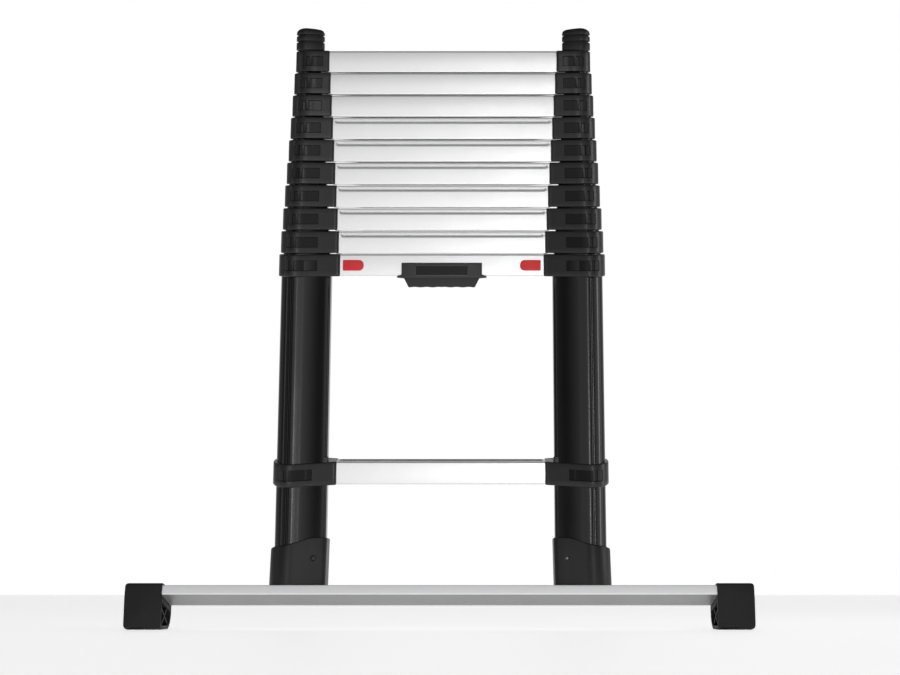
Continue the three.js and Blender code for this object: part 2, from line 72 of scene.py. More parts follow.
def span(node, axis):
    low, high = box_mm(node)
    return low[axis], high[axis]


def middle(node, axis):
    return sum(span(node, axis)) / 2


STILE_Y = middle("rung_5", 1)
RUNG_HALF_DEPTH = (span("rung_5", 1)[1] - span("rung_5", 1)[0]) / 2
RUNG_HALF_HEIGHT = 15.75
RUNG_TO_BOX_TOP = RUNG_HALF_HEIGHT + TREAD_RISE * (2 * RUNG_HALF_DEPTH - RUNG_CORNER)
RUNG_Z = {n: span(f"rung_{n}", 2)[1] - RUNG_TO_BOX_TOP for n in range(1, LAST + 1)}
RUNG_Z[1] += FIXED_RUNG_LIFT


# ---- Materials ----
NOISE_RANGE = (0.3, 0.7)         # where nearly all values of a noise texture lie
DRIFT_SCALE = 14
GRAIN_HEIGHT = 0.0004            # metres
ALONG_Z = (1, 1, 0.02)
ALONG_X = (0.02, 1, 1)
EVEN = (1, 1, 1)


def new_material(name):
    material = bpy.data.materials.new(name)
    material.use_nodes = True
    nodes = material.node_tree.nodes
    return material, nodes, material.node_tree.links, nodes["Principled BSDF"]


def texture_space(nodes, links, stretch):
    """Object coordinates in metres, stretched so that a small number draws out a pattern."""
    where = nodes.new("ShaderNodeTexCoord")
    mapping = nodes.new("ShaderNodeMapping")
    mapping.inputs["Scale"].default_value = stretch
    links.new(where.outputs["Object"], mapping.inputs["Vector"])
    return mapping.outputs["Vector"]


def noise_node(nodes, links, space, scale):
    noise = nodes.new("ShaderNodeTexNoise")
    noise.inputs["Scale"].default_value = scale
    noise.inputs["Detail"].default_value = 3
    links.new(space, noise.inputs["Vector"])
    return noise.outputs["Fac"]


def ranged(nodes, links, value, low, high):
    """A noise value brought into the range low to high."""
    change = nodes.new("ShaderNodeMapRange")
    change.inputs["From Min"].default_value = NOISE_RANGE[0]
    change.inputs["From Max"].default_value = NOISE_RANGE[1]
    change.inputs["To Min"].default_value = low
    change.inputs["To Max"].default_value = high
    links.new(value, change.inputs["Value"])
    return change.outputs["Result"]


def bump(nodes, links, shader, height, strength):
    node = nodes.new("ShaderNodeBump")
    node.inputs["Strength"].default_value = strength
    node.inputs["Distance"].default_value = GRAIN_HEIGHT
    links.new(height, node.inputs["Height"])
    links.new(node.outputs["Normal"], shader.inputs["Normal"])


def finish(name, colour, roughness, metallic=0.0, specular=0.5, wear=0.04, grain=None):
    """A plain finish whose roughness drifts a little; grain is (stretch, scale, strength)."""
    material, nodes, links, shader = new_material(name)
    shader.inputs["Base Color"].default_value = (*colour, 1)
    shader.inputs["Metallic"].default_value = metallic
    shader.inputs["Specular IOR Level"].default_value = specular
    drift = noise_node(nodes, links, texture_space(nodes, links, EVEN), DRIFT_SCALE)
    rough = ranged(nodes, links, drift, roughness - wear, roughness + wear)
    links.new(rough, shader.inputs["Roughness"])
    if grain:
        stretch, scale, strength = grain
        fine = noise_node(nodes, links, texture_space(nodes, links, stretch), scale)
        bump(nodes, links, shader, fine, strength)
    return material


BLACK_ANODISED = finish("black_anodised", (0.004, 0.004, 0.0045), 0.16, 0, 0.5, 0.02,
                        (ALONG_Z, 1400, 0.04))
COLLAR_NYLON = finish("collar_nylon", (0.016, 0.016, 0.0165), 0.30, 0, 0.42, 0.04,
                      (EVEN, 2400, 0.08))
WINDOW_NYLON = finish("window_nylon", (0.003, 0.003, 0.0033), 0.16, 0, 0.32, 0.03)
SHOE_NYLON = finish("shoe_nylon", (0.009, 0.009, 0.0095), 0.42, 0, 0.38, 0.05,
                    (EVEN, 2400, 0.12))
FOOT_RUBBER = finish("foot_rubber", (0.014, 0.014, 0.0145), 0.60, 0, 0.25, 0.06,
                     (EVEN, 1500, 0.2))
CAP_RUBBER = finish("cap_rubber", (0.014, 0.014, 0.0145), 0.42, 0, 0.34, 0.05,
                    (EVEN, 1500, 0.15))
RUNG_SATIN = finish("rung_satin_aluminium", (0.93, 0.93, 0.935), 0.34, 0.75, 0.5, 0.03,
                    (ALONG_X, 1600, 0.06))
BAR_SATIN = finish("bar_satin_aluminium", (0.95, 0.95, 0.96), 0.40, 0.1, 0.5, 0.04,
                   (ALONG_X, 1500, 0.08))
# Painted shade: a darker copy of the bar's aluminium, laid on its underside where shade falls.
BAR_PAINTED_SHADE = finish("bar_painted_shade", (0.25, 0.25, 0.255), 0.42, 0.3, 0.5, 0.04,
                    (ALONG_X, 1500, 0.08))
BUTTON_RED = finish("button_red", (0.78, 0.034, 0.036), 0.40, 0, 0.3, 0.04,
                    (EVEN, 2200, 0.05))
GRIP_PLASTIC = finish("grip_plastic", (0.032, 0.032, 0.033), 0.44, 0, 0.42, 0.05,
                      (EVEN, 2400, 0.12))
GRIP_ROUGH = finish("grip_rough", (0.032, 0.032, 0.033), 0.62, 0, 0.4, 0.05,
                    (EVEN, 620, 1.0))
LABEL_FILM = finish("label_film", (0.004, 0.004, 0.0045), 0.26, 0, 0.25, 0.03)
LABEL_EDGE = finish("label_edge", (0.09, 0.09, 0.092), 0.40, 0, 0.5, 0.03)
PIN_STEEL = finish("pin_steel", (0.55, 0.55, 0.56), 0.25, 1.0, 0.5, 0.05)
SPRING_STEEL = finish("spring_steel", (0.45, 0.45, 0.46), 0.30, 1.0, 0.5, 0.05)
# Painted shade: steel darkened to stand for the shade in the hole that the screw head sits in.
SCREW_SHADED_STEEL = finish("screw_steel", (0.05, 0.05, 0.052), 0.25, 1.0, 0.5, 0.06)
SEAT_NYLON = finish("seat_nylon", (0.03, 0.03, 0.032), 0.5, 0, 0.45, 0.05)


# ---- Mesh helpers ----
def add_piece(name, bm, body, nodes, material, side=1, angle=32):
    """Turns a bmesh in millimetres into a piece of the ladder; side -1 mirrors it in X."""
    if side < 0:
        bmesh.ops.transform(bm, matrix=Matrix.Scale(-1, 4, (1, 0, 0)), verts=bm.verts)
    bmesh.ops.transform(bm, matrix=Matrix.Scale(MM, 4), verts=bm.verts)
    bmesh.ops.recalc_face_normals(bm, faces=bm.faces)
    mesh = bpy.data.meshes.new(name)
    bm.to_mesh(mesh)
    bm.free()
    mesh.materials.append(material)
    mesh.shade_smooth()
    mesh.set_sharp_from_angle(angle=math.radians(angle))
    piece = bpy.data.objects.new(name, mesh)
    bpy.context.collection.objects.link(piece)
    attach(piece, body)
    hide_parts(*nodes)


def sweep(loops, ring=False):
    """Quads between loops of the same length. The ends are capped, or joined into a ring."""
    bm = bmesh.new()
    rows = [[bm.verts.new(p) for p in loop] for loop in loops]
    pairs = list(zip(rows, rows[1:])) + ([(rows[-1], rows[0])] if ring else [])
    count = len(rows[0])
    for low, high in pairs:
        for i in range(count):
            j = (i + 1) % count
            bm.faces.new((low[i], low[j], high[j], high[i]))
    if not ring:
        bm.faces.new(list(reversed(rows[0])))
        bm.faces.new(rows[-1])
    return bm


AXES = {"x": (1, 2, 0), "y": (0, 2, 1), "z": (0, 1, 2)}


def prism(outline, axis, start, end):
    """An outline pulled along an axis. It is drawn in the other two axes, in XYZ order."""
    a, b, c = AXES[axis]
    loops = []
    for place in (start, end):
        loop = []
        for u, v in outline:
            p = [0, 0, 0]
            p[a], p[b], p[c] = u, v, place
            loop.append(p)
        loops.append(loop)
    bm = sweep(loops)
    bmesh.ops.recalc_face_normals(bm, faces=bm.faces)
    return bm


def rectangle(u0, u1, v0, v1):
    return [(u0, v0), (u1, v0), (u1, v1), (u0, v1)]


def bevel(bm, width, segments=2, angle=30):
    """Rounds every edge that is sharper than the angle."""
    edges = [e for e in bm.edges if len(e.link_faces) == 2
             and e.calc_face_angle(0) > math.radians(angle)]
    bmesh.ops.bevel(bm, geom=edges, offset=width, segments=segments, profile=0.5,
                    affect="EDGES", clamp_overlap=True)
    return bm


def as_object(bm):
    mesh = bpy.data.meshes.new("work")
    bm.to_mesh(mesh)
    bm.free()
    work = bpy.data.objects.new("work", mesh)
    bpy.context.collection.objects.link(work)
    return work


def boolean(bm, other, operation):
    """bm combined with other, both freed, as a new bmesh."""
    base, tool = as_object(bm), as_object(other)
    change = base.modifiers.new("change", "BOOLEAN")
    change.operation = operation
    change.solver = "EXACT"
    change.object = tool
    evaluated = base.evaluated_get(bpy.context.evaluated_depsgraph_get())
    result = bmesh.new()
    result.from_mesh(evaluated.to_mesh())
    for work in (base, tool):
        mesh = work.data
        bpy.data.objects.remove(work)
        bpy.data.meshes.remove(mesh)
    return result


def cylinder(radius, axis, u, v, start, end):
    turns = [2 * math.pi * i / 40 for i in range(40)]
    ring = [(u + radius * math.cos(turn), v + radius * math.sin(turn)) for turn in turns]
    return prism(ring, axis, start, end)


def curve(start, control, end, steps):
    """Points of a quadratic curve after its start."""
    points = []
    for i in range(1, steps + 1):
        t = i / steps
        points.append(tuple((1 - t) ** 2 * p + 2 * t * (1 - t) * c + t * t * q
                            for p, c, q in zip(start, control, end)))
    return points


def between(table, value):
    """Straight-line reading of a table of (place, amount)."""
    for (a, p), (b, q) in zip(table, table[1:]):
        if value <= b:
            return p if value <= a else p + (q - p) * (value - a) / (b - a)
    return table[-1][1]


# ---- Stile profile ----
# Half outlines run from the round outer end (0) to the narrow inner end, as distance in from the
# outer end and half depth, for a section 72 wide and 64 deep.
NOSE = [(3 * (i / 8) ** 2, 14 * i / 8) for i in range(9)]
NOSE += curve((3, 14), (7, 26), (16.5, 30.0), 14)
CREST = curve((16.5, 30.0), (20, 31.2), (23, 31.6), 4)
CREST += curve((23, 31.6), (27, 32), (32, 30.2), 6)
SMOOTH = NOSE + CREST
GROOVED = NOSE + [(17.1, 29.0), (18.4, 29.0), (19.2, 30.4), (20.4, 31.3), (23, 31.9), (27, 31.4),
                  (32, 30.0)]
FACE = curve((32, 30.2), (50, 26.2), (64, 18.6), 12)
TUBE_END = FACE + curve(FACE[-1], (72, 14.6), (72, 7.5), 9) + [(72, 0)]
PLAIN = SMOOTH + TUBE_END        # a whole half outline without the groove


def resampled(points, count):
    """The same line with a given number of points, evenly spaced."""
    lengths = [0]
    for a, b in zip(points, points[1:]):
        lengths.append(lengths[-1] + math.dist(a, b))
    xs = list(zip(lengths, (p[0] for p in points)))
    ys = list(zip(lengths, (p[1] for p in points)))
    steps = [lengths[-1] * i / (count - 1) for i in range(count)]
    return [(between(xs, at), between(ys, at)) for at in steps]


def scaled(points, width):
    return [(s * width / TUBE_WIDTH, y * width / TUBE_WIDTH) for s, y in points]


def rise(y):
    """How much higher a level edge is at a depth y than at the rungs' front."""
    return TREAD_RISE * (y - STILE_Y + RUNG_HALF_DEPTH)


def loop_at(half, outer_x, z, inset=0, cut=None, slope=0):
    """The whole outline at a height, moved in along its normals; cut(s) deepens the faces."""
    flat = [(s, y - (cut(s) if cut else 0)) for s, y in half]
    ring = [(s, -y) for s, y in flat] + [(s, y) for s, y in reversed(flat[1:-1])]
    moved = []
    for i, (s, y) in enumerate(ring):
        before, after = ring[i - 1], ring[(i + 1) % len(ring)]
        along = Vector((after[0] - before[0], after[1] - before[1]))
        normal = Vector((-along.y, along.x)).normalized() if along.length else Vector((0, 0))
        at = STILE_Y + y + normal.y * inset
        moved.append((outer_x - s - normal.x * inset, at, z + slope * rise(at)))
    return moved


def tube_piece(name, width, outer_x, bottom, top, plug, body, nodes, side):
    """A hollow tube with a sloping top; a plug height closes its bottom."""
    outer = scaled(GROOVED + TUBE_END, width)
    inner = resampled(scaled(PLAIN, width - 2 * WALL), len(outer))
    inner_x = outer_x - WALL
    loops = [loop_at(outer, outer_x, bottom, 0.4), loop_at(outer, outer_x, bottom + 0.5),
             loop_at(outer, outer_x, top - 2, slope=1), loop_at(inner, inner_x, top - 2, slope=1),
             loop_at(inner, inner_x, bottom + plug)]
    bm = sweep(loops, ring=plug == 0)
    add_piece(name, bm, body, nodes, BLACK_ANODISED, side)


# ---- Collars ----
COLLAR_HALF = 16.15              # half heights
RECESS_HALF = 7.8
WINDOW_HALF = 7.5
COLLAR_CORNER = 4.5              # on the inner end
COLLAR_EDGE = [(-16.15, 1.5), (-15.9, 0.8), (-15.4, 0.3), (-14.5, 0)]    # height and inset
TOP_WINDOW_END = 41.4            # measured in from the outer end, as in the stile profile
WINDOW_END_STEP = 1.77           # windows end this much further in on each wider collar
RECESS_SHIFT = 0.5
FIXED_WINDOW_END = 57.0
FIXED_RECESS_SHIFT = 1.2


def collar_recess(window_end, shift):
    """Depths across a collar's face: a step, a groove, a ridge and a flat window."""
    return [(10.4, 0), (11.4, 1.3), (16.6 + shift, 1.3), (17.6 + shift, 3.0), (20.4 + shift, 3.0),
            (21.2 + shift, 1.3), (22.2 + shift, 0.5), (23.4 + shift, 0.3), (24.6 + shift, 0.7),
            (25.8 + shift, 1.9), (window_end - 0.9, 1.9), (window_end, 0)]


def collar_half(width, depth, marks):
    """Half outline with points at the marks; past the crest its face slopes straight inwards."""
    k = depth / TUBE_HALF_DEPTH
    flat = width - COLLAR_CORNER
    crest_s, crest_y = SMOOTH[-1]

    def face(s):
        if s < crest_s:
            return k * between(SMOOTH, s)
        start = crest_y * k
        return start + (COLLAR_END - start) * (s - crest_s) / max(flat - crest_s, 1)

    evenly = [9 + (flat - 10) * i / 17 for i in range(18)]
    points = [(s, y * k) for s, y in NOSE if s < 8.5]
    points += [(s, face(s)) for s in sorted(set(marks + evenly))]
    points.append((flat, COLLAR_END))
    points += curve(points[-1], (width, COLLAR_END), (width, COLLAR_END - COLLAR_CORNER), 9)
    return points + [(width, 0)]


def collar_bm(outer_x, inner_x, z, depth, bore_width, bore_x, recess):
    """A sleeve with a recessed band across its front and rear faces."""
    half = collar_half(outer_x - inner_x, depth, [s for s, deep in recess])
    first, last = recess[0][0], recess[-1][0]

    def cut(s):
        return between(recess, s) if first < s < last else 0

    rows = [(v, inset, 0) for v, inset in COLLAR_EDGE]
    rows += [(-RECESS_HALF - 0.4, 0, 0), (-RECESS_HALF, 0, 0), (-RECESS_HALF + 0.9, 0, 1)]
    rows += [(-v, inset, deep) for v, inset, deep in reversed(rows)]
    loops = [loop_at(half, outer_x, z + v, inset, cut if deep else None, 1)
             for v, inset, deep in rows]
    bore = resampled(scaled(PLAIN, bore_width), len(half))
    for v, inset in ((COLLAR_HALF - 0.7, -0.5), (COLLAR_HALF - 1.5, 0), (-COLLAR_HALF + 0.4, 0)):
        loops.append(loop_at(bore, bore_x, z + v, inset, slope=1))
    return sweep(loops, ring=True)


def window_bm(outer_x, inner_x, z, depth, recess, face_side):
    """The smooth inset in a collar's recess, on its front (-1) or rear (1) face."""
    (flat_start, sunk), end_wall = recess[-3], recess[-1][0]
    start, end = flat_start + 0.15, end_wall - 1.1
    section = rectangle(sunk - 0.15, sunk + 0.4, -WINDOW_HALF, WINDOW_HALF)
    loops = []
    for s, y in collar_half(outer_x - inner_x, depth, [start, end]):
        if not start <= s <= end:
            continue
        loop = []
        for deep, up in section:
            at = STILE_Y + face_side * (y - deep)
            loop.append((outer_x - s, at, z + up + rise(at)))
        loops.append(loop)
    return sweep(loops)


def add_collar(name, node, rung, width, tube_outer, ring, recess, body, side):
    """A collar and its two windows, measured from the right-hand node."""
    here = [node if side > 0 else node.replace("right", "left")]
    inner_x, outer_x = span(node, 0)
    depth = TUBE_HALF_DEPTH * (width + 2 * ring) / TUBE_WIDTH
    for place, face_side in (("front", -1), ("rear", 1)):
        window = window_bm(outer_x, inner_x, RUNG_Z[rung], depth, recess, face_side)
        add_piece(f"{name}_window_{place}", window, body, here, WINDOW_NYLON,
                  side)
    bm = collar_bm(outer_x, inner_x, RUNG_Z[rung], depth, width - 2 * WALL - 0.2,
                   tube_outer - WALL - 0.1, recess)
    add_piece(name, bm, body, here, COLLAR_NYLON, side)


def sliding_recess(rung):
    return collar_recess(TOP_WINDOW_END + WINDOW_END_STEP * (LAST - rung), RECESS_SHIFT)


def sliding_stile(label, side, n):
    node, body = f"stile_right_{n}", f"section_{n}"
    low, high = box_mm(node)
    outer_x = high.x - COLLAR_RING
    width = TUBE_WIDTH - TUBE_WIDTH_STEP * (n - 2)
    tube_piece(f"tube_{label}_{n}", width, outer_x, low.z, RUNG_Z[n] + COLLAR_HALF, PLUG_HEIGHT,
               body, [f"stile_{label}_{n}"], side)
    add_collar(f"collar_{label}_{n}", node, n, width, outer_x, COLLAR_RING, sliding_recess(n),
               body, side)


def base_stile(label, side):
    low, high = box_mm("base_tube_right")
    tube_piece(f"tube_{label}_base", TUBE_WIDTH, high.x, low.z, RUNG_Z[2] + COLLAR_HALF, 0,
               "base", [f"base_tube_{label}"], side)
    add_collar(f"collar_{label}_base", "base_collar_right", 2, TUBE_WIDTH, high.x, COLLAR_RING,
               sliding_recess(2), "base", side)
    add_collar(f"collar_{label}_fixed", "clamp_collar_right", 1, TUBE_WIDTH, high.x, CLAMP_RING,
               collar_recess(FIXED_WINDOW_END, FIXED_RECESS_SHIFT), "base", side)


for label, side in SIDES:
    for n in range(FIRST, LAST + 1):
        sliding_stile(label, side, n)
    base_stile(label, side)


# ---- Rungs ----
# Depth of the pressed band along the front, by distance below the rung's top.
BAND = [(0, 0), (2.5, 0), (2.9, 2.4), (4.0, 2.8), (6.0, 1.5), (8.2, 0.3), (9.8, 0), (40, 0)]
LAST_BANDED = 8
LOWER_CORNER = 2.6
FRONT_HEM, REAR_HEM = 1.4, 1.9   # how far a sliding rung's lower edges hang down
HEM_FADE = 40
RUNG_INSERTION = 4               # how far the extrusion reaches past its node, into the collars
RUNG_WALL = 2


def rung_outline(top_corner, bulge):
    """Closed outline in Y and Z, from the front bottom upwards, with a slightly full front."""
    y, z = RUNG_HALF_DEPTH, RUNG_HALF_HEIGHT
    step = (2 * z - LOWER_CORNER - top_corner) / 20
    heights = sorted({-z + LOWER_CORNER + i * step for i in range(21)}
                     | {z - d for d, deep in BAND if top_corner < d < 12})
    span_z = heights[-1] - heights[0]
    front = [(-y + bulge * (2 * (h - heights[0]) / span_z - 1) ** 2, h) for h in heights]
    points = curve((-y + LOWER_CORNER, -z), (-y + bulge, -z), front[0], 6) + front[1:]
    points += curve(front[-1], (-y + bulge, z), (-y + bulge + top_corner, z), 6)
    points += [(-y + 8 + (2 * y - 13) * i / 16, z) for i in range(17)]
    points += curve(points[-1], (y, z), (y, z - RUNG_CORNER), 5)
    points.append((y, -z + RUNG_CORNER))
    points += curve(points[-1], (y, -z), (y - RUNG_CORNER, -z), 5)
    points.append((-y + LOWER_CORNER, -z))
    return points


def shrunk(outline, amount):
    """The outline moved in by an amount, about its own middle."""
    across, up = 1 - amount / RUNG_HALF_DEPTH, 1 - amount / RUNG_HALF_HEIGHT
    return [(y * across, z * up) for y, z in outline]


def hem(y, up, x, reach):
    """How far a point hangs down: only the lower edges do, and the rear one fades at its ends."""
    if up > RUNG_CORNER + 0.1 - RUNG_HALF_HEIGHT:
        return 0
    return FRONT_HEM if y < 0 else REAR_HEM * min(1, (reach - abs(x)) / HEM_FADE)


def rung_bm(reach, z, banded, top_corner, bulge, hemmed):
    """A hollow extrusion with a fluted tread; band and flutes stop short of its ends."""
    outline = rung_outline(top_corner, bulge)
    ends = [(reach, 0.5, 0), (reach - 0.5, 0, 0), (reach - 6.0, 0, 0), (reach - 7.0, 0, 0.5),
            (reach - 9.0, 0, 0.9), (reach - 11, 0, 1), (reach - HEM_FADE, 0, 1)]
    stations = [(-x, inset, d) for x, inset, d in ends] + [(x, i, d) for x, i, d in reversed(ends)]
    loops = []
    for x, inset, deep in stations:
        loop = []
        for i, (y, up) in enumerate(shrunk(outline, inset)):
            press = between(BAND, RUNG_HALF_HEIGHT - up) * deep if banded and y < -8 else 0
            tread = 0.55 * deep if up > 15.7 and -7 < y < 9 and i % 2 else 0
            at = STILE_Y + y + press
            low = hem(y, up, x, reach) if hemmed else 0
            loop.append((x, at, z + up - tread - low + rise(at)))
        loops.append(loop)
    hollow = shrunk(outline, RUNG_WALL)
    loops += [[(x, STILE_Y + y, z + up + rise(STILE_Y + y)) for y, up in hollow]
              for x in (reach, -reach)]
    return sweep(loops, ring=True)


for n in range(1, LAST + 1):
    reach = span(f"rung_{n}", 0)[1] + RUNG_INSERTION
    top_corner, bulge = (3, 0.6) if n > LAST_BANDED else (2.2, 0.5)
    bm = rung_bm(reach, RUNG_Z[n], FIRST <= n <= LAST_BANDED, top_corner, bulge, n >= FIRST)
    add_piece(f"rung_{n}_extrusion", bm, "base" if n < FIRST else f"section_{n}", [f"rung_{n}"],
              RUNG_SATIN, angle=40)


# ---- Release buttons ----
def button_bm():
    """A slide with a rounded inner end and three raised ridges near its square one."""
    low, high = box_mm("release_button_right")
    x0, x1 = low.x, high.x
    z0, z1 = low.z, high.z
    mid, round_x = (z0 + z1) / 2, x0 + 7.5
    front, back = low.y, STILE_Y - RUNG_HALF_DEPTH + 0.2
    outline = [(x1, z0), (x1, z1), (round_x, z1)]
    outline += curve((round_x, z1), (x0, z1), (x0, mid), 8)
    outline += curve((x0, mid), (x0, z0), (round_x, z0), 8)
    bm = bevel(prism(outline, "y", front, back), 1.1, 3, 50)
    for place in (x1 - 4, x1 - 7.5, x1 - 11):
        ridge = prism(rectangle(place - 0.6, place + 0.6, z0 + 3, z1 - 3), "y", front - 0.5,
                      front + 1)
        bm = boolean(bm, ridge, "UNION")
    return bm


for label, side in SIDES:
    add_piece(f"button_{label}", button_bm(), f"release_{label}", [f"release_button_{label}"],
              BUTTON_RED, side)


# ---- Carry handle and label plate ----
HANDLE_LIFT = 1.2                # its top edge stands this much above its CAD node
WING_DROP = 17.9                 # the side wings, below the middle of the rung
GRIP_DROP = 33.6                 # the lower edge of the finger grip, likewise
GRIP_BUMPS = 2.75                # bumps from the middle to each end of that edge


def mirrored(points):
    return points + [(-x, z) for x, z in reversed(points)]


def leaned(bm, front):
    """Level faces behind the front rise to the rear, as the treads do."""
    for vert in bm.verts:
        vert.co.z += TREAD_RISE * max(vert.co.y - front, 0)
    return bm


def grip_plate(high, wing, front):
    half, top = high.x - 7.5, high.z + HANDLE_LIFT
    outline = mirrored([(half, top), (half, wing + 3.4), (half + 6.6, wing + 0.9),
                        (half + 6.8, wing - 0.6), (half - 3, wing - 1.6)])
    return bevel(prism(outline, "y", front, STILE_Y - RUNG_HALF_DEPTH - 0.1), 1.0, 3, 30)


def grip_below(high, wing, bottom, front):
    """The rough finger grip under the rung, with shallow bumps along its lower edge."""
    half = high.x - 7
    outline = [(half - 3.2, wing - 0.6)]
    for i in range(32):
        at = i / 32
        bumps = 0.35 * (1 - math.cos(2 * math.pi * GRIP_BUMPS * at))
        outline.append(((half - 10.8) * (1 - at), bottom + bumps))
    lower = prism(mirrored(outline), "y", front + 0.9, STILE_Y + RUNG_HALF_DEPTH)
    bevel(lower, 1.3, 3, 50)
    under = RUNG_Z[2] - RUNG_HALF_HEIGHT - 0.2
    keep = prism(rectangle(-80, 80, bottom - 9, under), "y", front - 5, STILE_Y + 40)
    return leaned(boolean(lower, keep, "INTERSECT"), front)


def around_plate(margin):
    low, high = box_mm("label_plate")
    return rectangle(low.x - margin, high.x + margin, low.z - margin, high.z + margin)


def grip_pieces():
    low, high = box_mm("carry_handle")
    front, wing, bottom = low.y, RUNG_Z[2] - WING_DROP, RUNG_Z[2] - GRIP_DROP
    pocket = prism(around_plate(1.3), "y", front - 2, front + 1.2)
    upper = boolean(grip_plate(high, wing, front), pocket, "DIFFERENCE")
    add_piece("handle_plate", upper, "base", ["carry_handle"], GRIP_PLASTIC)
    add_piece("handle_grip", grip_below(high, wing, bottom, front), "base", ["carry_handle"],
              GRIP_ROUGH)
    border = prism(around_plate(1.1), "y", front + 0.4, front + 1.3)
    add_piece("label_border", bevel(border, 0.3, 2), "base", ["label_plate"],
              LABEL_EDGE)
    face = prism(around_plate(0.1), "y", front + 0.2, front + 1.2)
    add_piece("label_face", bevel(face, 0.15, 1), "base", ["label_plate"], LABEL_FILM)


grip_pieces()


# ---- Top caps ----
# Height above the cap's bottom, and how far the outline has shrunk towards its middle.
CAP_ROWS = [(0, 0.12), (1.0, 0.12), (1.6, 0.03), (2.4, 0), (12.2, 0), (13.2, 0.02), (13.8, 0.14),
            (15.0, 0.14), (15.6, 0.02), (16.6, 0), (22.0, 0), (23.0, 0.02), (23.6, 0.14),
            (24.8, 0.14), (25.4, 0.02), (26.4, 0), (28.5, 0.0), (31, 0.02), (33, 0.07),
            (34.6, 0.16), (35.8, 0.30), (36.7, 0.48), (37.2, 0.68), (37.4, 0.88)]


CAP_CROWN = 26                   # above this height the cap rounds in around another middle


def cap_bm():
    """A ribbed cap, which follows the sloping tube at its bottom and is level at its top."""
    low, high = box_mm("top_cap_right")
    bottom = RUNG_Z[LAST] + COLLAR_HALF + 0.1
    width, height = high.x - low.x, CAP_ROWS[-1][0]
    half = scaled(PLAIN, width)
    scale = (high.z - bottom) / height
    loops = []
    for up, shrink in CAP_ROWS:
        centre = high.x - (0.64 if up < CAP_CROWN else 0.44) * width
        keep = 1 - shrink
        loop = loop_at(half, high.x, bottom + up * scale, slope=min(1, (height - up) / 11))
        loops.append([(centre + (x - centre) * keep, STILE_Y + (y - STILE_Y) * keep, z)
                      for x, y, z in loop])
    return sweep(loops)


for label, side in SIDES:
    add_piece(f"cap_{label}", cap_bm(), "section_11", [f"top_cap_{label}"],
              CAP_RUBBER, side)


# ---- Stabiliser bar ----
BAR_DEPTH, BAR_HEIGHT, BAR_WALL = 60, 13, 1.8
BAR_CORNER, BAR_INNER_CORNER = 1.6, 0.6
BAR_LOW, BAR_HIGH = box_mm("stabiliser_bar")
BAR_FRONT_TOP = (BAR_LOW.y + BAR_HEIGHT * math.sin(-BAR_TILT), BAR_HIGH.z)


def bar_top_at(y):
    return BAR_FRONT_TOP[1] + (y - BAR_FRONT_TOP[0]) * math.tan(BAR_TILT)


def on_bar(a, b):
    """Y and Z of a point a back from the bar's front edge and b below its top."""
    return (BAR_FRONT_TOP[0] + a * math.cos(BAR_TILT) + b * math.sin(BAR_TILT),
            BAR_FRONT_TOP[1] + a * math.sin(BAR_TILT) - b * math.cos(BAR_TILT))


def bar_bm():
    """A hollow box section, open at its ends."""
    def ring(inset, corner):
        a0, a1, b0, b1 = inset, BAR_DEPTH - inset, inset, BAR_HEIGHT - inset
        points = []
        for (a, b), (da, db) in (((a0, b0), (0, 1)), ((a1, b0), (-1, 0)),
                                 ((a1, b1), (0, -1)), ((a0, b1), (1, 0))):
            start = (a + da * corner, b + db * corner)
            end = (a + (corner if a == a0 else -corner) * (0 if da else 1),
                   b + (corner if b == b0 else -corner) * (0 if db else 1))
            points += [start] + curve(start, (a, b), end, 4)
        return points

    outer, inner = ring(0, BAR_CORNER), ring(BAR_WALL, BAR_INNER_CORNER)
    reach = BAR_HIGH.x
    loops = [[(x, *on_bar(*p)) for p in outer] for x in (-reach, reach)]
    loops += [[(x, *on_bar(*p)) for p in inner] for x in (reach, -reach)]
    return sweep(loops, ring=True)


def painted_bar_shade_bm():
    """A darker strip laid along the underside of the bar: painted shade, standing in for the shade
    beneath it.
    """
    section = rectangle(BAR_CORNER, BAR_DEPTH - BAR_CORNER, BAR_HEIGHT - 0.2, BAR_HEIGHT + 0.2)
    return prism([on_bar(*p) for p in section], "x", -BAR_HIGH.x, BAR_HIGH.x)


add_piece("bar_extrusion", bar_bm(), "base", ["stabiliser_bar"], BAR_SATIN)
# The underside strip carries painted shade, not a finish of its own.
add_piece("bar_painted_shade", painted_bar_shade_bm(), "base", ["stabiliser_bar"],
          BAR_PAINTED_SHADE)


# ---- Shoes ----
SHOE_TOP = 124.5                 # height of a shoe's top edge on its inner side
SHOE_S_DROP, SHOE_LAST_DROP = 11.5, 3
SHOE_HALF_DEPTH = 35.5
SHOE_GAP = 0.3                   # above the bar
SCREW_X, SCREW_Y, SCREW_Z = 174.3, STILE_Y - 28, 96


def shoe_half(width):
    """Half outline of a shoe. The face has points enough to carry the S of the top edge."""
    points = [(s * 1.05, y * SHOE_HALF_DEPTH / TUBE_HALF_DEPTH) for s, y in SMOOTH]
    length = width - 39.6
    points += [(33.6 + length * i / 12, 33.5 - 8.5 * i / 12) for i in range(1, 13)]
    points += curve(points[-1], (width, 23.8), (width, 17), 8)
    return points + [(width, 0)]


def shoe_top_at(x, inner, width):
    """The top edge falls in an S towards the outer end, with a small last step."""
    t = min(max((x - inner - 13) / (width - 32), 0), 1)
    last = between([(0, 0), (66, 0), (78, 1)], x - inner)
    return SHOE_TOP - SHOE_S_DROP * (3 * t * t - 2 * t ** 3) - SHOE_LAST_DROP * last


